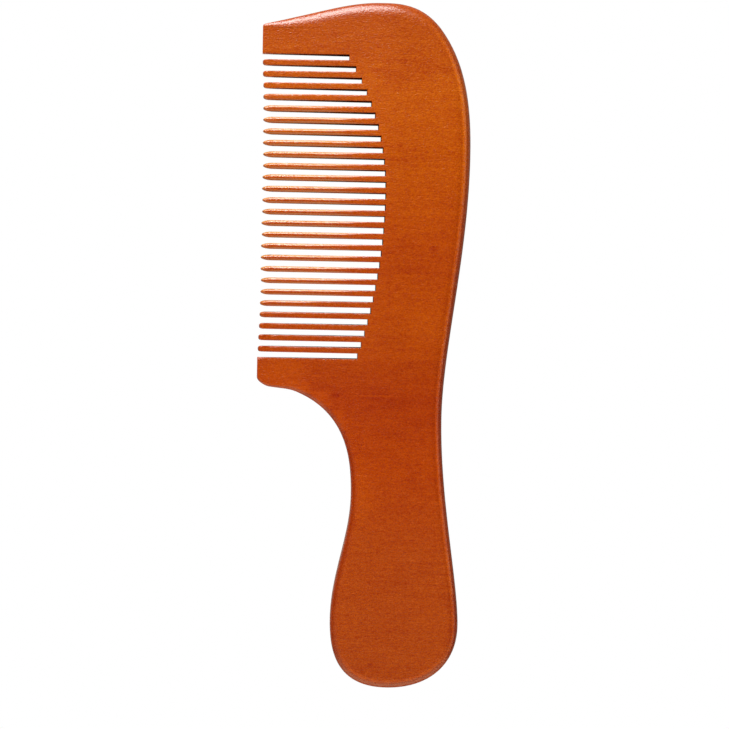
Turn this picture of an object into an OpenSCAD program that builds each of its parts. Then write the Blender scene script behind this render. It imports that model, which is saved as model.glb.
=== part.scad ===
// One-piece wooden comb with a handle, lying flat. The origin is under the middle of the whole comb.
// X runs across the comb, with the teeth towards -X. Y runs from the handle to the head. Z is the thickness.

/* [Size] */
// Length from the handle's end to the crown of the head
comb_l = 185; // [180:1:200]
// Width from the tooth tips to the back
comb_w = 56.6; // [50:0.2:64]
// Thickness of the back and the handle
comb_t = 9.5; // [7:0.1:12]
// Share of the width of the edge rounding that is kept
rounding = 1; // [0.4:0.05:1]
// Depth of the edge rounding, as a share of its width
rounding_depth = 0.75; // [0.5:0.05:0.9]

/* [Teeth] */
// Number of teeth between the two guards
tooth_count = 26; // [12:1:26]
// Distance from one tooth to the next
tooth_pitch = 3.09; // [2.9:0.01:3.1]
// Width of the gap between two teeth
gap_w = 1.55; // [1.2:0.05:1.8]
// Drop from the crown of the head to the middle of the first gap
first_gap_drop = 14.9; // [14:0.1:18]
// Depth of the longest gap from the tip line
gap_depth = 34; // [26:0.5:36]
// Drop from the crown of the head to the longest gap
longest_gap_drop = 51; // [45:0.5:60]
// Radius of the arc that the gap ends follow above the longest gap
upper_arc_r = 67; // [60:1:120]
// Radius of the arc that the gap ends follow below the longest gap
lower_arc_r = 146; // [100:1:200]

/* [Tooth shape] */
// Thickness of the comb at the tooth tips
tip_t = 3.3; // [2:0.1:6]
// Distance from the tip line to full thickness
taper_l = 35; // [30:0.5:40]
// Width of the bevel along each tooth edge, near its tip
bevel_w = 0.45; // [0.1:0.05:0.55]
// Length of the pointed end of a tooth
point_l = 2.3; // [1:0.1:4]
// Width that is left at the very tip of a tooth
point_w = 0.36; // [0.2:0.02:0.8]
// How far the middle teeth stop short of the line between the guards
tip_hollow = 0.55; // [0:0.05:1]
// Width of the rounding at the tooth tips
tip_band = 1.1; // [0.3:0.1:1.5]

/* [Hidden] */

wood = [0.70, 0.31, 0.09];
tip_x = -comb_w / 2;
taper_x = tip_x + taper_l;
half_t = comb_t / 2;

// The outline tables are drawn for this width and length, and are stretched to the sizes above.
// They measure X from the middle of the comb and Y from the handle's end.
drawn = [56.6, 185];

// Columns of the outline tables: the place of a corner or bend, the heading of the edge there in degrees,
// how far the curve keeps that heading before and after it, the width of the rounded band, and the steps
// to the next row.
X = 0;
Y = 1;
HEADING = 2;
BEFORE = 3;
AFTER = 4;
BAND = 5;
STEPS = 6;

// From the handle's end to the end face of the lower guard.
heel_side = [
    [8.5, 0, 180, 0, 10.5, 2.6, 8],         // handle's end
    [-7.3, 17.5, 90, 12, 13, 2.4, 7],       // widest point of the handle
    [-2.2, 52, 90, 12, 11, 2.3, 9],         // hollow of the grip
    [-16, 79.2, 155, 12.8, 4, 1.8, 3],      // underside of the heel
    [-25.1, 81.15, 172, 5, 0.9, 1.1, 3],    // corner of the heel
    [-28.3, 83.6, 90, 1.1, 0, 0.8, 0],      // end face of the lower guard
];

// From the end face of the upper guard to the crown.
head_side = [
    [-28.3, 178.1, 90, 0, 0.5, 0.6, 2],     // end face of the upper guard
    [-27.5, 178.9, 14, 0.5, 2, 0.8, 2],     // start of the top edge
    [-22, 180.27, 14, 2, 12, 2, 6],         // top edge
    [3, 185, 0, 7, 0, 3.8, 0],              // crown of the head
];

// From the handle's end up the back to the crown.
back_side = [
    [8.5, 0, 0, 0, 12, 2.6, 24],            // handle's end
    [27.4, 17, 90, 9.8, 12, 2.8, 24],       // widest point of the handle
    [21.9, 73.5, 90, 22, 19, 3.2, 24],      // waist of the handle
    [28.3, 144.5, 90, 27, 11.5, 3.8, 24],   // widest point of the back
    [20, 178, 127, 12, 9, 3.8, 24],         // shoulder of the head
    [3, 185, 180, 5, 0, 3.8, 0],            // crown of the head
];

// Steps from the edge of the rounded band to its flat side.
band_steps = 4;
// Deepest that a rounding may go, as a share of half the thickness there.
deepest = 0.9;
// Heights between which the tooth taper fades into the even thickness of the handle.
fade_y = [46, 88];
// Shares of a flat's width between which its middle column stays.
middle_lane = [0.2, 0.8];
// Part of a gap's length, from its end, that has no bevel.
plain_part = 0.25;
// Places along a tooth's point where it is drawn, as shares of its length.
point_steps = [1, 0.45, 0.12, 0];
// How sharply the tip line turns in at the guards.
hollow_power = 4;
// How far the gap cutters stand out of the wood.
clear = 1;

// The direction of a heading.
function along(a) = [cos(a), sin(a)];

// The cubic curve from row a to row b, at t from 0 to 1.
function bend(a, b, t) =
    let (
        start = [a[X], a[Y]],
        end = [b[X], b[Y]],
        lead = start + a[AFTER] * along(a[HEADING]),
        trail = end - b[BEFORE] * along(b[HEADING]),
        s = 1 - t
    )
    s * s * s * start + 3 * s * s * t * lead + 3 * s * t * t * trail + t * t * t * end;

// Points along a table, each with the width of its rounded band.
function chain(table) = [
    for (i = [0 : len(table) - 2], k = [0 : table[i][STEPS] - 1])
        let (
            t = k / table[i][STEPS],
            p = bend(table[i], table[i + 1], t),
            band = (1 - t) * table[i][BAND] + t * table[i + 1][BAND]
        )
        [p.x * comb_w / drawn.x, p.y * comb_l / drawn.y, band * rounding],
    let (last = table[len(table) - 1])
        [last[X] * comb_w / drawn.x, last[Y] * comb_l / drawn.y, last[BAND] * rounding],
];

// Points down the tip line, on every third tooth, from the lower guard to the upper one.
tip_line = [
    for (k = [tooth_count - 2 : -3 : 0])
        let (
            y = comb_l - first_gap_drop - (k + 0.5) * tooth_pitch,
            u = 2 * (k + 0.5) / tooth_count - 1
        )
        [tip_x + tip_hollow * (1 - pow(u, hollow_power)), y, tip_band * rounding]
];

left = concat(chain(heel_side), tip_line, chain(head_side));
right_fine = chain(back_side);
right_x = [for (p = right_fine) [p.y, p.x]];
right_band = [for (p = right_fine) [p.y, p.z]];

// The back's points are at the heights of the tooth side's, so that straight rungs join the two.
right = [for (p = left) [lookup(p.y, right_x), p.y, lookup(p.y, right_band)]];
levels = len(left) - 1;

// The outline as one loop, up the tooth side and down the back.
loop = concat(left, [for (i = [levels - 1 : -1 : 1]) right[i]]);
loop_n = len(loop);

// The unit direction from point i of the loop into the wood.
function inward(i) =
    let (
        before = loop[(i + loop_n - 1) % loop_n],
        after = loop[(i + 1) % loop_n],
        d = [after.x - before.x, after.y - before.y]
    )
    [d.y, -d.x] / norm(d);

// A ramp from 0 to 1 that is level at both ends.
function ease(t) = let (u = min(1, max(0, t))) u * u * (3 - 2 * u);

// Half of the comb's thickness at a place.
function half_at(x, y) =
    let (
        ramp = min(1, max(0, (taper_x - x) / taper_l)),
        fade = ease((y - fade_y[0]) / (fade_y[1] - fade_y[0]))
    )
    half_t - (half_t - tip_t / 2) * ramp * fade;

// Ring j of the blank, from its edge at 0 to the flat at band_steps, on the side that face gives as 1 or -1.
function ring(j, face) = [
    for (i = [0 : loop_n - 1])
        let (
            a = 90 * j / band_steps,
            p = [loop[i].x, loop[i].y] + loop[i].z * (1 - cos(a)) * inward(i),
            half = half_at(p.x, p.y),
            deep = min(rounding_depth * loop[i].z, deepest * half)
        )
        [p.x, p.y, half_t + face * (half - deep * (1 - sin(a)))]
];

// The middle column of a flat, which follows the line where the taper starts.
function middle(i, face) =
    let (
        a = [left[i].x, left[i].y] + left[i].z * inward(i),
        b = [right[i].x, right[i].y] + right[i].z * inward(loop_n - i),
        t = min(middle_lane[1], max(middle_lane[0], (taper_x - a.x) / (b.x - a.x))),
        p = a + t * (b - a)
    )
    [p.x, p.y, half_t + face * half_at(p.x, p.y)];

// The rings of the blank from the middle of its front flat over the edge to the middle of its back flat.
edge_rings = [
    for (j = [band_steps : -1 : 0]) each ring(j, 1),
    for (j = [0 : band_steps]) each ring(j, -1),
];
ring_n = 2 * band_steps + 2;
flat_start = ring_n * loop_n;

// Number of the point at level i and column 0, 1 or 2 of a flat, whose rings have the number r.
function flat_index(r, i, column) =
    i == 0 || i == levels || column == 0 ? r * loop_n + i
    : column == 2 ? r * loop_n + loop_n - i
    : flat_start + (r == 0 ? 0 : levels - 1) + i - 1;

// Two triangles for a four-sided patch, less those that have shrunk to a line.
function patch(a, b, c, d) = [
    for (f = [[a, c, b], [a, d, c]])
        if (f[0] != f[1] && f[1] != f[2] && f[2] != f[0]) f
];

// The comb before its gaps are cut.
module blank() {
    points = concat(
        edge_rings,
        [for (i = [1 : levels - 1]) middle(i, 1)],
        [for (i = [1 : levels - 1]) middle(i, -1)]
    );
    edge_faces = [
        for (r = [0 : ring_n - 2], i = [0 : loop_n - 1])
            let (next = (i + 1) % loop_n)
            each patch(r * loop_n + i, r * loop_n + next, (r + 1) * loop_n + next, (r + 1) * loop_n + i)
    ];
    front_faces = [
        for (i = [0 : levels - 1], c = [0, 1])
            each patch(flat_index(0, i, c), flat_index(0, i, c + 1), flat_index(0, i + 1, c + 1),
                flat_index(0, i + 1, c))
    ];
    back_faces = [
        for (i = [0 : levels - 1], c = [0, 1])
            let (r = ring_n - 1)
            each patch(flat_index(r, i, c), flat_index(r, i + 1, c), flat_index(r, i + 1, c + 1),
                flat_index(r, i, c + 1))
    ];
    polyhedron(points, concat(edge_faces, front_faces, back_faces), convexity = 10);
}

// X of a gap's end, on the two arcs that meet at the longest gap.
function gap_end(y) =
    let (
        d = y - (comb_l - longest_gap_drop),
        r = d > 0 ? upper_arc_r : lower_arc_r
    )
    tip_x + gap_depth - r + sqrt(r * r - d * d);

// Half of a tooth's width, at a distance from its tip.
function tooth_half(from_tip) =
    let (
        full = (tooth_pitch - gap_w) / 2,
        t = min(1, max(0, from_tip / point_l))
    )
    max(point_w / 2, full * sqrt(1 - (1 - t) * (1 - t)));

// The cross-section of a gap at x: above and below are the bevels of the teeth on each side.
function gap_section(x, y, above, below) =
    let (
        g = tooth_pitch / 2 - tooth_half(x - tip_x - tip_hollow),
        h = half_at(x, y),
        up = g + above + clear,
        down = g + below + clear
    )
    [
        for (p = [
            [g, above - h], [g, h - above], [up, h + clear], [-down, h + clear],
            [-g, h - below], [-g, below - h], [-down, -h - clear], [up, -h - clear]
        ])
        [x, y + p.x, half_t + p.y]
    ];

// The wood that is sawn out for one gap.
module gap(k) {
    y = comb_l - first_gap_drop - k * tooth_pitch;
    end = gap_end(y);
    bevel_start = end - plain_part * (end - tip_x);
    full_bevel = (bevel_start + tip_x) / 2;
    stations = [
        end,
        bevel_start,
        full_bevel,
        for (s = point_steps) tip_x + tip_hollow + s * point_l,
        tip_x - clear,
    ];
    sections = [
        for (x = stations)
            let (bevel = bevel_w * min(1, (bevel_start - x) / (bevel_start - full_bevel)))
            each gap_section(x, y, k == 0 ? -clear / 2 : bevel, k == tooth_count ? -clear / 2 : bevel)
    ];
    n = 8;
    rows = len(stations);
    side_faces = [
        for (r = [0 : rows - 2], i = [0 : n - 1])
            let (next = (i + 1) % n)
            each patch(r * n + i, (r + 1) * n + i, (r + 1) * n + next, r * n + next)
    ];
    last = (rows - 1) * n;
    end_faces = [
        for (f = [[0, 1, 4], [0, 4, 5], [1, 2, 3], [1, 3, 4], [5, 6, 7], [5, 7, 0]])
            each [[f[2], f[1], f[0]], [last + f[0], last + f[1], last + f[2]]]
    ];
    polyhedron(sections, concat(side_faces, end_faces), convexity = 4);
}

// The whole comb, in one piece of wood.
module comb() {
    color(wood)
    translate([0, -comb_l / 2, 0])
    difference() {
        blank();
        for (k = [0 : tooth_count]) gap(k);
    }
}

comb();
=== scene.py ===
import math
from collections import namedtuple

import bpy
import numpy as np
from mathutils import Matrix, Vector


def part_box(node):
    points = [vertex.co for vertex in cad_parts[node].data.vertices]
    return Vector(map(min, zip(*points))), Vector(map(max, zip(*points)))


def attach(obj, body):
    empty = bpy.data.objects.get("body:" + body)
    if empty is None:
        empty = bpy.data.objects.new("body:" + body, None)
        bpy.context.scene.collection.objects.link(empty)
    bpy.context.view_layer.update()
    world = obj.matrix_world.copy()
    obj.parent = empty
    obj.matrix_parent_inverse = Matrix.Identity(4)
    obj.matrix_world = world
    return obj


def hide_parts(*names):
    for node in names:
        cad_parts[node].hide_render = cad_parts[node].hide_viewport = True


# The looks of a one-piece wooden comb that lies flat.
# Drawing coordinates are millimetres: x from the middle of the comb, y from the handle's end, and z from the
# middle of the thickness.

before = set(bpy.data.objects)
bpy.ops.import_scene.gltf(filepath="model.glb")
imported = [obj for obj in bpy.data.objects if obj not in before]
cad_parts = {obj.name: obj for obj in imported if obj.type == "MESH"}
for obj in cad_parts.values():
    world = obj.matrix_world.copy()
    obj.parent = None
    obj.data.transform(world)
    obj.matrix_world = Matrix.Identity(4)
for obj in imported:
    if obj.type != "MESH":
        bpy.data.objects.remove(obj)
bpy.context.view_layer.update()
low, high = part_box("comb")

MM = 0.001
SEED = 7

# The size that the outline tables are drawn for, the thickness from the frame, and the edge rounding.
WIDTH, LENGTH = 56.6, 185.0
HALF_T = (high.z - low.z) / MM / 2
ROUNDING_DEPTH = 0.75     # depth of the edge rounding, as a share of its width
ROUNDING_POWER = 2.4      # its form, where 2 is an ellipse and more is flatter with a tighter corner

# Teeth, counted from 0 at the head, and the gaps between them.
TEETH = 26
PITCH = 3.09
GAP_W = 1.55
TOOTH_HALF = (PITCH - GAP_W) / 2
FIRST_GAP_Y = LENGTH - 14.9
LONGEST_GAP_Y = LENGTH - 51
GAP_DEPTH = 34            # depth of the longest gap
UPPER_ARC_R = 67          # arcs that the gaps end on, above and below the longest one
LOWER_ARC_R = 146

# Tooth tips. Pairs are for the plain teeth beside the guards and for the pointed ones between them.
TIP_X = -WIDTH / 2
TIP_HOLLOW = 0.55         # how far the middle teeth stop short of the guards
HOLLOW_POWER = 4          # how flat that hollow is in the middle of the row
TIP_SHIFT = 0.1           # how far a tip may lie from its place
POINT_L = (1.3, 2.6)      # length of the point
POINT_POWER = (3.2, 2.0)  # how blunt the point is
ROUND_TIP_L = 3.4         # length over which a tip is also rounded through its thickness
ROUND_TIP_W = 1.0         # width of that rounding at the very tip
ROUND_TIP_DEPTH = 0.8     # its depth, as a share of the half thickness

# Taper of the thickness towards the tips.
TIP_HALF_T = 1.65
TAPER_L = 35
TAPER_SOFT = 0.08         # how softly it starts, as a share of its length
FADE_Y = (46, 88)         # heights between which it fades into the handle

# Sawn edges and the bevels along the teeth.
EDGE_SOFT = 0.09          # rounding of a sawn edge
GUARD_CORNER = 0.35       # rounding of the guards' sawn corners
CORNER_FADE = 3           # length over which that fades along a guard's sawn side
SAWN_FORM = 0.5           # form of these roundings, from 0, round, to 1, a straight bevel
BEVEL_W = 0.56            # widest bevel
BEVEL_DEPTH = 0.75        # its depth, as a share of its width
BEVEL_STRAIGHT = 0.8      # how straight a bevel is where its form is 1
BEVEL_FROM = (-20, 3)     # where bevels start on the outer bevelled teeth and on the middle ones
BEVEL_FADE = 13           # length over which they grow
BEVEL_WAVES = 0.16        # unevenness of their width
PLAIN_TEETH = (1.6, 2.2)  # number of teeth without them, at the head's and at the handle's end of the row
BEVEL_TEETH = (3.2, 4.5)  # number of teeth over which they then grow, at the same ends
LEAST_FLAT = 0.3          # what they leave of a tooth's half width
WORN_FADE = 0.25          # share of a bevel over which its wear starts
RIM_WIDTH = 1.5           # width of a rounding from which on it is toned as a rim

# Mesh steps.
OUTLINE_STEP = 0.8
LEAST_STEPS = 4           # between two rows of the outline
END_FACE_STEPS = 6        # along the end face of a guard
BAND_ROWS = 8
POINT_ROWS = 9
SHANK_ROWS = 12
WALL_COLUMNS = 14
WALL_CROWDING = 1.4       # how much closer they lie at the outer end of a sawn side
SPINE_COLUMNS = 16
ROOT_COLUMNS = 3
END_COLUMNS = 3
SHARP_ANGLE = math.radians(40)

Row = namedtuple("Row", "x y heading before after band")

# Each row is a corner or bend of the outline: its place, the edge's heading there in degrees, how far the
# curve keeps that heading before and after it, and the width of the rounded band.
HEEL_SIDE = [
    Row(8.5, 0, 180, 0, 10.5, 2.6),        # handle's end
    Row(-7.3, 17.5, 90, 12, 13, 2.4),      # widest point of the handle
    Row(-2.2, 52, 90, 12, 11, 2.3),        # hollow of the grip
    Row(-16, 79.2, 155, 12.8, 4, 1.8),     # underside of the heel
    Row(-25.1, 81.15, 172, 5, 0.9, 1.1),   # corner of the heel
    Row(-28.3, 83.6, 90, 1.1, 0, 0.8),     # end face of the lower guard
]
HEAD_SIDE = [
    Row(-28.3, 178.1, 90, 0, 0.5, 0.6),    # end face of the upper guard
    Row(-27.5, 178.9, 14, 0.5, 2, 0.8),    # start of the top edge
    Row(-22, 180.27, 14, 2, 3, 2.6),       # top edge
    Row(-14.2, 182.2, 14, 2.4, 7.2, 3.5),
    Row(3, 185, 0, 5.2, 0, 3.9),           # crown of the head
]
BACK_SIDE = [
    Row(8.5, 0, 0, 0, 12, 2.6),            # handle's end
    Row(27.4, 17, 90, 9.8, 12, 2.8),       # widest point of the handle
    Row(21.9, 73.5, 90, 22, 19, 3.2),      # waist of the handle
    Row(28.3, 144.5, 90, 27, 11.5, 3.8),   # widest point of the back
    Row(20, 178, 127, 12, 9, 3.8),         # shoulder of the head
    Row(3, 185, 180, 5, 0, 3.9),           # crown of the head
]

# A point of the outline: its place on the edge, where the rounding ends on the flat, the rounding's depth,
# its form from 0, round, to 1, a straight bevel, and how worn the stain is on it.
Point = namedtuple("Point", "edge inner depth bevel worn", defaults=(0,))


def along(heading):
    """The unit direction of a heading in degrees."""
    return np.array([math.cos(math.radians(heading)), math.sin(math.radians(heading))])


def ease(t):
    """A ramp from 0 to 1 that is level at both ends."""
    t = np.clip(t, 0, 1)
    return t * t * (3 - 2 * t)


def mix(a, b, t):
    return a + (b - a) * t


def chain(rows):
    """Points (x, y, band) along the curves between the rows, with the last row's own point."""
    points = []
    for a, b in zip(rows, rows[1:]):
        start, end = np.array(a[:2], float), np.array(b[:2], float)
        lead = start + a.after * along(a.heading)
        trail = end - b.before * along(b.heading)
        steps = max(LEAST_STEPS, math.ceil(np.linalg.norm(end - start) / OUTLINE_STEP))
        t = np.arange(steps)[:, None] / steps
        s = 1 - t
        curve = s**3 * start + 3 * s * s * t * lead + 3 * s * t * t * trail + t**3 * end
        points.append(np.hstack([curve, mix(a.band, b.band, t)]))
    return np.vstack(points + [[rows[-1].x, rows[-1].y, rows[-1].band]])


def end_face(y_from, y_to, band_from, band_to):
    """Points (x, y, band) along the straight end face of a guard, less both its ends."""
    t = np.arange(1, END_FACE_STEPS)[:, None] / END_FACE_STEPS
    return np.hstack([np.full_like(t, TIP_X), mix(y_from, y_to, t), mix(band_from, band_to, t)])


def gap_y(k):
    """Height of the middle of gap k. Tooth k lies between gaps k and k + 1."""
    return FIRST_GAP_Y - k * PITCH


def gap_end(k):
    """X of the end of gap k, on the two arcs that meet at the longest gap."""
    d = gap_y(k) - LONGEST_GAP_Y
    r = UPPER_ARC_R if d > 0 else LOWER_ARC_R
    return TIP_X + GAP_DEPTH - r + math.sqrt(r * r - d * d)


def half_at(x, y):
    """Half of the comb's thickness at a place."""
    ramp = (TIP_X + TAPER_L - x) / TAPER_L
    start = np.clip(ramp + TAPER_SOFT, 0, 2 * TAPER_SOFT) ** 2 / (4 * TAPER_SOFT)
    ramp = np.minimum(np.where(ramp > TAPER_SOFT, ramp, start), 1)
    fade = ease((y - FADE_Y[0]) / (FADE_Y[1] - FADE_Y[0]))
    return HALF_T - (HALF_T - TIP_HALF_T) * ramp * fade


def free_edge(points, closed_by):
    """Outline points along (x, y, band). closed_by gives the neighbours of the first and the last one."""
    before = np.vstack([closed_by[0], points[:-1, :2]])
    after = np.vstack([points[1:, :2], closed_by[1]])
    ahead = after - before
    inward = np.stack([ahead[:, 1], -ahead[:, 0]], 1) / np.linalg.norm(ahead, axis=1)[:, None]
    inner = points[:, :2] + points[:, 2:] * inward
    return [Point(tuple(p[:2]), tuple(q), ROUNDING_DEPTH * p[2], 0) for p, q in zip(points, inner)]


def guard_wall(k, side):
    """Outline points along the sawn side of a guard, from its outer corner almost to the end of gap k.
    side is 1 for the guard towards the head."""
    y = gap_y(k) + side * GAP_W / 2
    points = []
    for j in range(WALL_COLUMNS):
        x = mix(TIP_X, gap_end(k), (j / WALL_COLUMNS) ** WALL_CROWDING)
        soft = mix(GUARD_CORNER, EDGE_SOFT, ease((x - TIP_X) / CORNER_FADE))
        inner = (x + (soft if j == 0 else 0), y + side * soft)
        points.append(Point((x, y), inner, soft, SAWN_FORM))
    return points


def gap_end_wall(k):
    """Outline points across the end of gap k, from its corner towards the handle to the other one."""
    x, y = gap_end(k), gap_y(k)
    points = []
    for j in range(END_COLUMNS + 1):
        side = 2 * j / END_COLUMNS - 1
        corner = math.copysign(EDGE_SOFT, side) if j in (0, END_COLUMNS) else 0
        edge = (x, y + side * GAP_W / 2)
        points.append(Point(edge, (x + EDGE_SOFT, edge[1] + corner), EDGE_SOFT, SAWN_FORM))
    return points


def bevelled(tooth):
    """How strongly a tooth is bevelled and pointed, from 0 beside the guards to 1."""
    from_head = ease((tooth - PLAIN_TEETH[0]) / BEVEL_TEETH[0])
    from_handle = ease((TEETH - PLAIN_TEETH[1] - tooth) / BEVEL_TEETH[1])
    return float(from_head * from_handle)


def tooth_side(tooth, tip, root, side, waves):
    """Outline points down one side of a tooth, from beside its tip almost to its root."""
    strength = bevelled(tooth)
    y = (gap_y(tooth) + gap_y(tooth + 1)) / 2
    point = mix(*POINT_L, strength)
    power = mix(*POINT_POWER, strength)
    places = [point * (j / POINT_ROWS) ** 2 for j in range(1, POINT_ROWS + 1)]
    places += [mix(point, root - tip, j / SHANK_ROWS) for j in range(1, SHANK_ROWS)]
    points = []
    for place, wave in zip(places, waves):
        x = tip + place
        half = TOOTH_HALF * (1 - (1 - min(1, place / point)) ** power) ** (1 / power)
        grown = float(ease((mix(*BEVEL_FROM, strength) - x) / BEVEL_FADE))
        bevel = EDGE_SOFT + (BEVEL_W - EDGE_SOFT) * strength * grown * wave
        near_tip = max(0, 1 - place / ROUND_TIP_L) ** 2
        inner = (x + ROUND_TIP_W * near_tip, y + side * max(half - bevel, LEAST_FLAT * half))
        deep = mix(BEVEL_DEPTH * bevel, ROUND_TIP_DEPTH * float(half_at(x, y)), near_tip)
        points.append(Point((x, y + side * half), inner, deep, 1 - near_tip, strength * grown))
    return points


def tooth_edge(tooth, rng):
    """Outline points round a tooth, from the side towards the handle over the tip to the other side."""
    y = (gap_y(tooth) + gap_y(tooth + 1)) / 2
    middle = abs(2 * (tooth + 0.5) / TEETH - 1)
    tip = TIP_X + (TIP_HOLLOW + rng.uniform(-TIP_SHIFT, TIP_SHIFT)) * (1 - middle**HOLLOW_POWER)
    # Each wave is half the sum of three neighbouring draws, so that the width changes slowly.
    noise = rng.normal(size=POINT_ROWS + SHANK_ROWS + 1)
    waves = 1 + BEVEL_WAVES * np.convolve(noise, [0.5, 0.5, 0.5], "valid")
    lower = tooth_side(tooth, tip, gap_end(tooth + 1), -1, waves)
    upper = tooth_side(tooth, tip, gap_end(tooth), 1, waves[::-1])
    end = Point((tip, y), (tip + ROUND_TIP_W, y), ROUND_TIP_DEPTH * float(half_at(tip, y)), 0)
    return lower[::-1] + [end] + upper


class CombMesh:
    """Collects the outline and the flats. A flat point is an outline point's number, or one past them all."""

    def __init__(self):
        self.loop, self.inside, self.cells = [], [], []

    def put(self, points):
        """Adds outline points and returns their numbers."""
        start = len(self.loop)
        self.loop += points
        return list(range(start, len(self.loop)))

    def place(self, number):
        """X and y of a flat point."""
        n = len(self.loop)
        return self.loop[number].inner if number < n else self.inside[number - n]

    def free(self, x, y):
        """A new flat point."""
        self.inside.append((x, y))
        return len(self.loop) + len(self.inside) - 1

    def between(self, a, b, steps):
        """New flat points that split the line from a to b."""
        (ax, ay), (bx, by) = self.place(a), self.place(b)
        return [self.free(mix(ax, bx, j / steps), mix(ay, by, j / steps)) for j in range(1, steps)]

    def strip(self, near, far):
        """Fills between two rows of flat points. Far lies to the left of near, as its numbers run."""
        if len(far) == 1:
            self.cells += [(a, b, far[0]) for a, b in zip(near, near[1:])]
        elif len(near) == 1:
            self.cells += [(near[0], b, a) for a, b in zip(far, far[1:])]
        else:
            self.cells += list(zip(near, near[1:], far[1:], far))

    def rings(self):
        """Rings of points from the front flat's border over the edge to the back flat's border. For each
        point also how far into the rounding it lies, from 0 to 1 at the edge, less where that is narrow, and
        how worn it is."""
        edge = np.array([p.edge for p in self.loop])
        inner = np.array([p.inner for p in self.loop])
        depth = np.array([p.depth for p in self.loop])
        bevel = BEVEL_STRAIGHT * np.array([p.bevel for p in self.loop])
        width = np.linalg.norm(inner - edge, axis=1)
        worn = np.array([p.worn for p in self.loop])
        rings, rims, wear = [], [], []
        for j in range(BAND_ROWS + 1):
            t = 1 - j / BAND_ROWS
            a = t * math.pi / 2
            share = mix(1 - math.cos(a) ** (2 / ROUNDING_POWER), t, bevel)[:, None]
            drop = depth * mix(1 - math.sin(a) ** (2 / ROUNDING_POWER), 1 - t, bevel)
            xy = edge + (inner - edge) * share
            rings.append(np.column_stack([xy, half_at(xy[:, 0], xy[:, 1]) - drop]))
            rims.append((1 - share[:, 0]) * ease(width / RIM_WIDTH))
            wear.append(worn * ease((1 - t) / WORN_FADE))
        back = [ring * (1, 1, -1) for ring in reversed(rings)]
        return rings + back, rims + rims[::-1], wear + wear[::-1]

    def build(self):
        """Vertices in drawing coordinates, faces, and for each vertex how far into the rounding it lies and
        how worn it is."""
        rings, rims, wear = self.rings()
        n, last = len(self.loop), len(rings) - 1
        inside = np.array(self.inside)
        z = half_at(inside[:, 0], inside[:, 1])
        front, back = np.column_stack([inside, z]), np.column_stack([inside, -z])
        vertices = np.vstack(rings + [front, back])
        faces = [
            (r * n + i, r * n + (i + 1) % n, (r + 1) * n + (i + 1) % n, (r + 1) * n + i)
            for r in range(last)
            for i in range(n)
        ]
        first_inside = len(rings) * n
        for cell in self.cells:
            faces.append([c if c < n else first_inside + c - n for c in cell])
            behind = [last * n + c if c < n else first_inside + len(inside) + c - n for c in cell]
            faces.append(behind[::-1])
        flats = [np.zeros(2 * len(inside))]
        shades = {"rim": np.concatenate(rims + flats), "worn": np.concatenate(wear + flats)}
        return vertices, faces, shades


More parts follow.
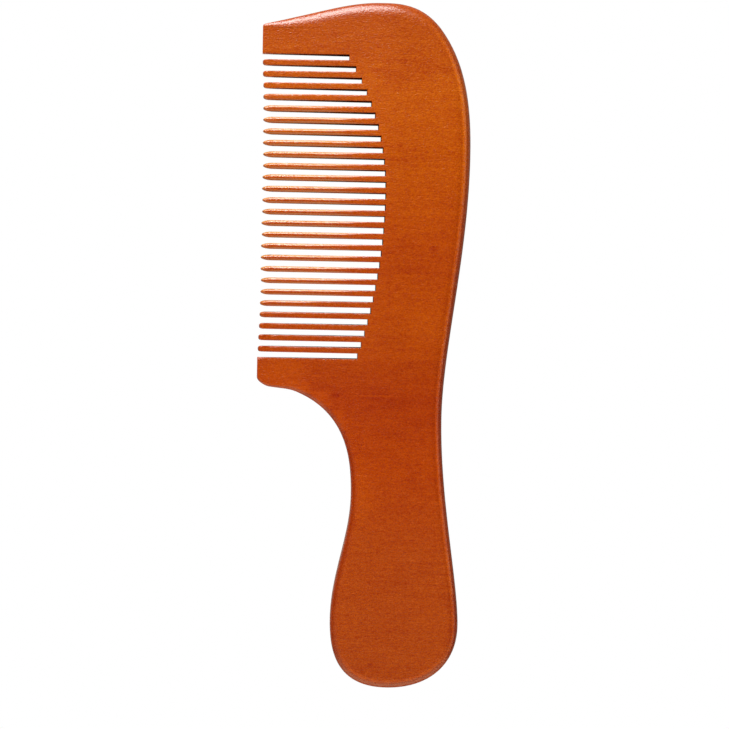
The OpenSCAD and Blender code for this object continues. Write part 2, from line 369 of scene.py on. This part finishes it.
def comb_mesh():
    """Walks the outline up the tooth side and down the back, then fills the flats with rows across."""
    rng = np.random.default_rng(SEED)
    comb = CombMesh()
    heel = chain(HEEL_SIDE)
    corner_y = gap_y(TEETH) - GAP_W / 2
    heel = np.vstack([heel, end_face(heel[-1, 1], corner_y, heel[-1, 2], GUARD_CORNER)])
    head = chain(HEAD_SIDE)
    corner_y = gap_y(0) + GAP_W / 2
    head = np.vstack([end_face(corner_y, head[0, 1], GUARD_CORNER, head[0, 2]), head])
    back = chain(BACK_SIDE)

    heel_side = comb.put(free_edge(heel, (back[1, :2], (TIP_X, heel[-1, 1] + 1))))
    sill = comb.put(guard_wall(TEETH, -1))
    ends, teeth = {TEETH: comb.put(gap_end_wall(TEETH))}, {}
    for k in range(TEETH - 1, -1, -1):
        teeth[k] = comb.put(tooth_edge(k, rng))
        ends[k] = comb.put(gap_end_wall(k))
    roof = comb.put(guard_wall(0, 1)[::-1])[::-1]
    head_side = comb.put(free_edge(head, ((TIP_X, head[0, 1] - 1), back[-2, :2])))

    # The rows' starting points on the tooth side. Those at a tooth's root lie inside the comb, and get their
    # numbers once the whole outline is known.
    starts = heel_side[1:] + ends[TEETH]
    for k in range(TEETH - 1, -1, -1):
        starts += [("root", k, j) for j in range(1, ROOT_COLUMNS)] + ends[k]
    starts += head_side[:-1]

    def height(start):
        if isinstance(start, int):
            return comb.loop[start].edge[1]
        _, k, j = start
        return mix(comb.loop[ends[k + 1][-1]].edge[1], comb.loop[ends[k][0]].edge[1], j / ROOT_COLUMNS)

    levels = np.array([height(start) for start in starts])
    right = np.column_stack([np.interp(levels, back[:, 1], back[:, c]) for c in (0, 2)])
    down = np.column_stack([right[:, 0], levels, right[:, 1]])[::-1]
    back_side = comb.put(free_edge(down, (head[-2, :2], heel[1, :2])))[::-1]

    roots = {k: comb.between(ends[k + 1][-1], ends[k][0], ROOT_COLUMNS) for k in teeth}
    gap_zone = range(starts.index(ends[TEETH][0]), starts.index(ends[0][-1]) + 1)
    share = {}
    for name, wall, end in (("heel", sill, ends[TEETH][0]), ("head", roof, ends[0][-1])):
        left, split, far = (comb.place(i)[0] for i in (wall[0], end, back_side[starts.index(end)]))
        share[name] = (split - left) / (far - left)

    rows = [[heel_side[0]]]
    for i, (start, end) in enumerate(zip(starts, back_side)):
        if i in gap_zone:
            first = start if isinstance(start, int) else roots[start[1]][start[2] - 1]
            row = [first] + comb.between(first, end, SPINE_COLUMNS) + [end]
            if start == ends[TEETH][0]:
                rows += [sill + row]
            if start == ends[0][-1]:
                rows += [row]
                row = roof + row
        else:
            (ax, ay), (bx, by) = comb.place(start), comb.place(end)
            t = share["heel" if i < gap_zone[0] else "head"]
            split = comb.free(mix(ax, bx, t), mix(ay, by, t))
            row = [start] + comb.between(start, split, WALL_COLUMNS) + [split]
            row += comb.between(split, end, SPINE_COLUMNS) + [end]
        rows += [row]
    rows += [[head_side[-1]]]
    for near, far in zip(rows, rows[1:]):
        if len(near) == len(far) or min(len(near), len(far)) == 1:
            comb.strip(near, far)
    for k, tooth in teeth.items():
        path = [ends[k + 1][-1]] + tooth + [ends[k][0]]
        middle = len(path) // 2
        near = [path[0]] + roots[k] + [path[-1]]
        for j in range(1, middle):
            far = [path[j]] + comb.between(path[j], path[-1 - j], ROOT_COLUMNS) + [path[-1 - j]]
            comb.strip(near, far)
            near = far
        comb.strip(near, [path[middle]])
    return comb.build()


def fit_to_frame(vertices):
    """Drawing coordinates to the shared frame, in metres, so that the comb fills the frame's box."""
    least, most = vertices.min(0), vertices.max(0)
    return np.array(low) + (vertices - least) / (most - least) * (np.array(high) - np.array(low))


def make_comb(material):
    vertices, faces, shades = comb_mesh()
    mesh = bpy.data.meshes.new("comb_body")
    mesh.from_pydata(fit_to_frame(vertices).tolist(), [], [list(map(int, f)) for f in faces])
    for name, values in shades.items():
        mesh.attributes.new(name, "FLOAT", "POINT").data.foreach_set("value", values)
    mesh.validate()
    mesh.shade_smooth()
    mesh.set_sharp_from_angle(angle=SHARP_ANGLE)
    comb = bpy.data.objects.new("comb_body", mesh)
    bpy.context.scene.collection.objects.link(comb)
    mesh.materials.append(material)
    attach(comb, "root")
    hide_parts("comb")


def linear(colour):
    """An 8-bit display colour as linear light."""
    parts = [c / 255 for c in colour]
    return tuple(c / 12.92 if c <= 0.04045 else ((c + 0.055) / 1.055) ** 2.4 for c in parts) + (1,)


class Nodes:
    """Short calls for building a shader."""

    def __init__(self, tree):
        self.tree = tree
        tree.nodes.clear()

    def add(self, kind, inputs=(), **settings):
        node = self.tree.nodes.new(kind)
        for name, value in settings.items():
            setattr(node, name, value)
        for name, value in dict(inputs).items():
            socket = node.inputs[name]
            if isinstance(value, bpy.types.NodeSocket):
                self.tree.links.new(value, socket)
            else:
                socket.default_value = value
        return node

    def math(self, operation, a, b):
        return self.add("ShaderNodeMath", {0: a, 1: b}, operation=operation).outputs[0]

    def vector(self, operation, a, b=None):
        """Vector math. A length comes out as a number."""
        inputs = {0: a} if b is None else {0: a, 1: b}
        node = self.add("ShaderNodeVectorMath", inputs, operation=operation)
        return node.outputs["Value" if operation == "LENGTH" else "Vector"]

    def remap(self, value, low_in, high_in, low_out, high_out, smooth=False):
        kind = "SMOOTHSTEP" if smooth else "LINEAR"
        inputs = {0: value, 1: low_in, 2: high_in, 3: low_out, 4: high_out}
        return self.add("ShaderNodeMapRange", inputs, interpolation_type=kind).outputs[0]

    def noise(self, vector, noise):
        inputs = {"Vector": vector, "Scale": noise.scale, "Location": noise.place}
        vector = self.add("ShaderNodeMapping", inputs).outputs[0]
        inputs = {"Vector": vector, "Scale": 1.0, "Detail": noise.detail, "Roughness": noise.roughness}
        return self.add("ShaderNodeTexNoise", inputs).outputs["Fac"]

    def ramp(self, value, stops):
        """A colour from a list of (value, colour)."""
        node = self.add("ShaderNodeValToRGB", {0: value})
        elements = node.color_ramp.elements
        for i, (place, colour) in enumerate(stops):
            stop = elements[i] if i < 2 else elements.new(place)
            stop.position, stop.color = place, colour
        return node.outputs[0]

    def blend(self, colour, other, share, mode="MIX"):
        node = self.add("ShaderNodeMix", {0: share, 6: colour, 7: other}, data_type="RGBA", blend_type=mode)
        return node.outputs[2]

    def attribute(self, name):
        return self.add("ShaderNodeAttribute", attribute_name=name).outputs["Fac"]


# Noises in the wood, from 0 to 1. Columns: features a millimetre along x, y and z, the place in the noise
# where the comb lies, how fine its detail is, and how strong that detail is.
Noise = namedtuple("Noise", "scale place detail roughness")
CLOUD = Noise((0.04, 0.12, 0.1), (3, 8, 1), 3, 0.6)
STREAKS = Noise((0.07, 0.9, 0.6), (11, 4, 2), 3, 0.6)
FIBRES = Noise((0.5, 2.6, 2), (5, 0, 7), 2, 0.55)
SPECKS = Noise((2.2, 3.4, 3), (1, 9, 3), 1.5, 0.55)
GRAINS = Noise((2.1, 2.9, 2.5), (2, 2, 2), 1.5, 0.55)    # in the lacquer alone
USUAL = (0.3, 0.7)                                       # what most of a noise lies between

# Broad tones of the stained wood by height on the comb, as shares of its length, set against the photo.
TONES = [
    (0.0, (160, 61, 2)),
    (0.2, (161, 60, 2)),
    (0.32, (162, 56, 0)),
    (0.42, (152, 47, 0)),
    (0.52, (161, 60, 0)),
    (0.65, (160, 58, 0)),
    (0.78, (168, 69, 0)),
    (0.88, (171, 73, 1)),
    (1.0, (158, 62, 2)),
]

# What the palest and the darkest wood multiply those tones by, how far the clouds go from the one at 0 to the
# other at 1, and the range of the changes that the finer noises then make.
PALE, DARK = (1.3, 1.75, 6, 1), (0.72, 0.36, 0.05, 1)
CLOUD_DEPTHS = (0.42, 0.58)
STREAKS_CHANGE, FIBRES_CHANGE, SPECKS_CHANGE = 0.4, 0.65, 1.25

# What the palest rounded edge, a painted sheen, and the darkest, darker stain with painted shade, multiply
# the wood by.
EDGE_SHEEN, EDGE_STAIN_AND_SHADE = (1.325, 1.52, 1.6, 1), (0.675, 0.48, 0.4, 1)

# How the rounded edges are painted, from their inner side at 0 to the edge at 1, at the head, towards the
# handle's end, along the tooth side and on the back: darker stain with painted shade where they turn from
# the lights, and paler bands of painted sheen along the middle of the back's rounding and towards the
# handle's end. 0.5 is EDGE_STAIN_AND_SHADE, 0 is plain and -0.5 is EDGE_SHEEN.
HEAD_EDGE_SHADING = [(0.1, 0), (0.5, 0), (1, 0.25)]
HANDLE_EDGE_SHADING = [(0.05, 0), (0.22, -0.36), (0.38, -0.36), (0.46, 0.08), (0.6, 0.08), (1, 0)]
TOOTH_SIDE_EDGE_SHADING = [(0.1, 0), (0.35, 0.1), (0.6, 0.4), (1, 0.5)]
BACK_EDGE_SHADING = [(0.05, 0), (0.26, 0.08), (0.38, 0.04), (0.46, -0.44), (0.6, -0.44), (0.74, 0.3), (1, 0.4)]

# Where these tones give way to each other, by the way that the edge faces: from the tooth side's to the
# back's by its part across the comb, and from both to the head's by its part along the comb. The handle's
# tones take over as the head's do, on edges that face the other way.
BACK_FACING, HEAD_FACING = (-0.3, 0.3), (0.3, 0.8)

# The bare wood where the stain is worn off along the teeth, on the sides towards the handle and towards the
# head, where it is also a painted glint, paler and yellower, and how much of it shows between two values of
# the fibres.
WORN, WORN_WITH_GLINT = (170, 98, 43), (187, 127, 60)
WORN_FIBRES, WORN_SHARES = (0.35, 0.6), (0.45, 1)

# The lacquer.
ROUGHNESS = (0.23, 0.31)
IOR = 1.5
RELIEF = 0.00009          # height of its grains, in metres
FIBRES_RELIEF = 0.5       # height of the fibres in it, as a share of that

# Knots, patches and streaks, and painted shade and sheen along some edges. Columns: x and y in drawing
# coordinates, half of the length across the comb, half of the width, and how dark it is, where 1 would take
# the plain wood to DARK. Less than 0 is paler.
Mark = namedtuple("Mark", "x y across along dark")
MARK_EDGE = (0.2, 1.3)    # shares of a mark's size that it fades out between
MARK_RAGGED = 0.6         # how far the streaks shift that edge, as a share of its size
MARKS = [
    Mark(-7.1, 79, 1.1, 0.8, 0.6),         # knot above the bay
    Mark(18.6, 119, 0.9, 0.7, 0.6),        # knot in the spine
    Mark(3.9, 6.4, 0.7, 0.6, 0.5),         # knot near the handle's end
    Mark(12, 78.2, 7.5, 1.8, 0.1),         # darker clouds above the neck
    Mark(6, 80.4, 5, 0.9, 0.25),
    Mark(13.5, 71.8, 5, 1.6, 0.12),
    Mark(5, 70.5, 6, 3.5, 0.12),
    Mark(14.2, 56.6, 2.4, 2.8, 0.28),      # patches in the grip
    Mark(20, 36.5, 4.5, 5.5, 0.12),
    Mark(10, 120.4, 4.5, 2.2, 0.28),       # patches and a streak at the roots of the teeth
    Mark(14, 113, 8, 1.1, 0.16),
    Mark(8.2, 95, 5.5, 3.6, 0.14),
    Mark(13, 88.3, 4, 1.2, 0.16),
    Mark(12, 141.5, 6, 5, 0.12),           # patches in the head
    Mark(11, 166, 10, 5, 0.3),
    Mark(-22, 84.5, 7, 4, -0.5),           # paler wood in the heel
    Mark(1, 52, 4, 8, -0.35),              # paler wood in the grip
    Mark(19, 101, 7, 5, -0.2),             # paler wood in the spine
    Mark(16.5, 75.2, 4.5, 1.6, -0.3),      # paler streak in the neck
    Mark(-17, 80.6, 4, 1.5, -0.7),         # paler along the bay's rim
    Mark(-11, 77.5, 3.5, 2.4, -0.8),
    Mark(-6, 71.7, 2.2, 3.8, -0.7),
    Mark(-4.4, 66, 1.6, 4, -0.25),
    Mark(16, 128.7, 9, 1.5, -0.25),        # paler streaks in the spine and the head
    Mark(13, 154.3, 9, 2.2, -0.25),
    Mark(4.5, 79.2, 6.5, 0.25, -0.5),      # ripple above the neck
    Mark(3, 78.5, 4, 0.5, 0.3),
    Mark(27, 23, 2.5, 16, 0.4),            # painted shade on the handle's back edge, dimming its sheen
    Mark(24.5, 98, 2.5, 14, 0.3),          # painted shade on the back's edge below its middle
    Mark(27.3, 160, 2.2, 10, -0.3),        # painted sheen on the back's edge above it
    Mark(-21, 81.2, 6, 0.9, -0.6),         # painted sheen on the edge under the heel
]


def marked(n, mm, streaks, depth):
    """Adds the marks to the wood's depth, which is how dark it is from PALE at 0 to DARK at 1."""
    ragged = n.remap(streaks, *USUAL, MARK_RAGGED, -MARK_RAGGED)
    for mark in MARKS:
        away = n.vector("SUBTRACT", mm, (mark.x, mark.y - LENGTH / 2, 0))
        away = n.vector("MULTIPLY", away, (1 / mark.across, 1 / mark.along, 0))
        away = n.math("ADD", n.vector("LENGTH", away), ragged)
        depth = n.math("ADD", depth, n.remap(away, *MARK_EDGE, mark.dark / 2, 0, True))
    return depth


def wood_material():
    material = bpy.data.materials.new("lacquered_wood")
    material.use_nodes = True
    n = Nodes(material.node_tree)
    texture = n.add("ShaderNodeTexCoord").outputs
    mm = n.vector("MULTIPLY", texture["Object"], (1 / MM,) * 3)
    noises = [n.noise(mm, noise) for noise in (CLOUD, STREAKS, FIBRES, SPECKS, GRAINS)]
    cloud, streaks, fibres, specks, grains = noises

    y = n.add("ShaderNodeSeparateXYZ", {0: mm}).outputs["Y"]
    height = n.remap(y, -LENGTH / 2, LENGTH / 2, 0, 1)
    stained = n.ramp(height, [(share, linear(colour)) for share, colour in TONES])

    depth = n.remap(cloud, *USUAL, *CLOUD_DEPTHS)
    for noise, change in ((streaks, STREAKS_CHANGE), (fibres, FIBRES_CHANGE), (specks, SPECKS_CHANGE)):
        depth = n.math("ADD", depth, n.remap(noise, 0, 1, -change / 2, change / 2))
    depth = marked(n, mm, streaks, depth)
    colour = n.blend(stained, n.blend(PALE, DARK, depth), 1.0, "MULTIPLY")

    flat_normal = n.vector("MULTIPLY", texture["Normal"], (1, 1, 0))
    facing = n.add("ShaderNodeSeparateXYZ", {0: n.vector("NORMALIZE", flat_normal)}).outputs
    to_back = n.remap(facing["X"], *BACK_FACING, 0, 1)
    to_head = n.remap(facing["Y"], *HEAD_FACING, 0, 1)
    to_handle = n.remap(facing["Y"], -HEAD_FACING[0], -HEAD_FACING[1], 0, 1)

    rim = n.attribute("rim")

    def painted_edge_shading(row):
        """From EDGE_SHEEN at 0, a painted sheen, to EDGE_STAIN_AND_SHADE at 1, darker stain with painted
        shade.
        """
        return n.ramp(rim, [(place, (dark + 0.5,) * 3 + (1,)) for place, dark in row])

    # Darker stain with painted shade on the rounded edges, and painted sheen in paler bands, by the way they
    # face.
    tone = painted_edge_shading(TOOTH_SIDE_EDGE_SHADING)
    for row, share in ((BACK_EDGE_SHADING, to_back), (HEAD_EDGE_SHADING, to_head), (HANDLE_EDGE_SHADING, to_handle)):
        tone = n.blend(tone, painted_edge_shading(row), share)
    colour = n.blend(colour, n.blend(EDGE_SHEEN, EDGE_STAIN_AND_SHADE, tone), 1.0, "MULTIPLY")

    worn = n.math("MULTIPLY", n.attribute("worn"), n.remap(fibres, *WORN_FIBRES, *WORN_SHARES))
    # Worn bevels; those that face the head also get a painted glint.
    colour = n.blend(colour, n.blend(linear(WORN), linear(WORN_WITH_GLINT), to_head), worn)

    relief = n.math("ADD", n.math("MULTIPLY", fibres, FIBRES_RELIEF), grains)
    bump = n.add("ShaderNodeBump", {"Height": relief, "Strength": 1.0, "Distance": RELIEF}).outputs[0]
    roughness = n.remap(grains, *USUAL, *ROUGHNESS)
    inputs = {"Base Color": colour, "Roughness": roughness, "Normal": bump, "IOR": IOR}
    shader = n.add("ShaderNodeBsdfPrincipled", inputs)
    n.add("ShaderNodeOutputMaterial", {"Surface": shader.outputs[0]})
    return material


WHITE = (1, 1, 1, 1)
FLOOR_GREY = (0.42, 0.37, 0.3, 1)
FLOOR_HALF = 3.0          # half of the floor's side
FLOOR_DROP = 0.0002       # how far it lies below the comb, so that their faces never coincide
SKY_LIGHT = 0.006         # strength of the sky's light on the comb


def floor_material():
    """White where the camera sees it, and a dim warm grey for the light and the reflections on the comb."""
    material = bpy.data.materials.new("pale_floor")
    material.use_nodes = True
    n = Nodes(material.node_tree)
    seen = n.add("ShaderNodeLightPath").outputs["Is Camera Ray"]
    white = n.add("ShaderNodeEmission", {"Color": WHITE, "Strength": 1.0}).outputs[0]
    grey = n.add("ShaderNodeBsdfDiffuse", {"Color": FLOOR_GREY}).outputs[0]
    surface = n.add("ShaderNodeMixShader", {0: seen, 1: grey, 2: white}).outputs[0]
    n.add("ShaderNodeOutputMaterial", {"Surface": surface})
    return material


def make_floor():
    mesh = bpy.data.meshes.new("floor")
    r = FLOOR_HALF
    mesh.from_pydata([(-r, -r, 0), (r, -r, 0), (r, r, 0), (-r, r, 0)], [], [(0, 1, 2, 3)])
    mesh.materials.append(floor_material())
    floor = bpy.data.objects.new("floor", mesh)
    floor.location.z = low.z - FLOOR_DROP
    bpy.context.scene.collection.objects.link(floor)


def make_sky():
    """White where the camera sees it, and almost no light on the comb."""
    world = bpy.data.worlds.new("studio")
    world.use_nodes = True
    n = Nodes(world.node_tree)
    seen = n.add("ShaderNodeLightPath").outputs["Is Camera Ray"]
    strength = n.remap(seen, 0, 1, SKY_LIGHT, 1)
    sky = n.add("ShaderNodeBackground", {"Color": WHITE, "Strength": strength}).outputs[0]
    n.add("ShaderNodeOutputWorld", {"Surface": sky})
    bpy.context.scene.world = world


def aimed(place, target, up):
    """The pose of a camera or a light at a place, looking at a target."""
    back = (place - target).normalized()
    right = up.cross(back).normalized()
    turn = Matrix((right, back.cross(right), back)).transposed().to_4x4()
    return Matrix.Translation(place) @ turn


# Soft lights, which look at the middle of the comb. Columns: name, azimuth, where 0 is over the head of the
# comb and 90 over its back, elevation, distance, size, power and colour.
LIGHTS = [
    ("head_light", -18, 25, 1.2, (0.5, 0.8), 24, (1, 1, 1)),             # most of the light
    ("top_light", -14, 43.5, 1.2, (0.75, 0.45), 5.5, (0.78, 1, 1)),      # highlight along the top edge
    ("back_light", 85, 33, 1.5, (1.8, 0.25), 4.2, (1, 0.86, 0.68)),      # line along the back's rounding
    ("handle_light", 192, 57, 1.5, (2.2, 0.6), 3.4, (1, 0.86, 0.64)),    # sheen on the handle's end
    ("low_light", 183, 12, 2.4, (6, 2.8), 125, (1, 0.8, 0.54)),          # edges that face the handle
]


def make_light(name, azimuth, elevation, distance, size, power, colour):
    a, e = math.radians(azimuth), math.radians(elevation)
    toward = Vector((math.sin(a) * math.cos(e), math.cos(a) * math.cos(e), math.sin(e)))
    data = bpy.data.lights.new(name, "AREA")
    data.shape = "RECTANGLE"
    data.size, data.size_y = size
    data.energy = power
    data.color = colour
    light = bpy.data.objects.new(name, data)
    light.matrix_world = aimed(toward * distance, Vector((0, 0, 0)), Vector((0, 0, 1)))
    bpy.context.scene.collection.objects.link(light)


# The camera stands over one point of the comb and is turned to the middle of the picture.
CAMERA_TURN = math.radians(1.1)
CAMERA_OVER = Vector((-0.0145, 0.0202, 0.6835))
PICTURE_MIDDLE = Vector((0.0008, -0.005, 0.00475))
PICTURE_ANGLE = math.radians(16.56)
SEEN_FROM, SEEN_TO = 0.01, 20


def make_camera():
    data = bpy.data.cameras.new("camera")
    data.angle = PICTURE_ANGLE
    data.clip_start, data.clip_end = SEEN_FROM, SEEN_TO
    camera = bpy.data.objects.new("camera", data)
    up = Vector((-math.sin(CAMERA_TURN), math.cos(CAMERA_TURN), 0))
    camera.matrix_world = aimed(CAMERA_OVER, PICTURE_MIDDLE, up)
    bpy.context.scene.collection.objects.link(camera)
    bpy.context.scene.camera = camera


make_camera()
for light in LIGHTS:
    make_light(*light)
make_sky()
make_floor()
make_comb(wood_material())
bpy.context.scene.view_settings.view_transform = "Standard"
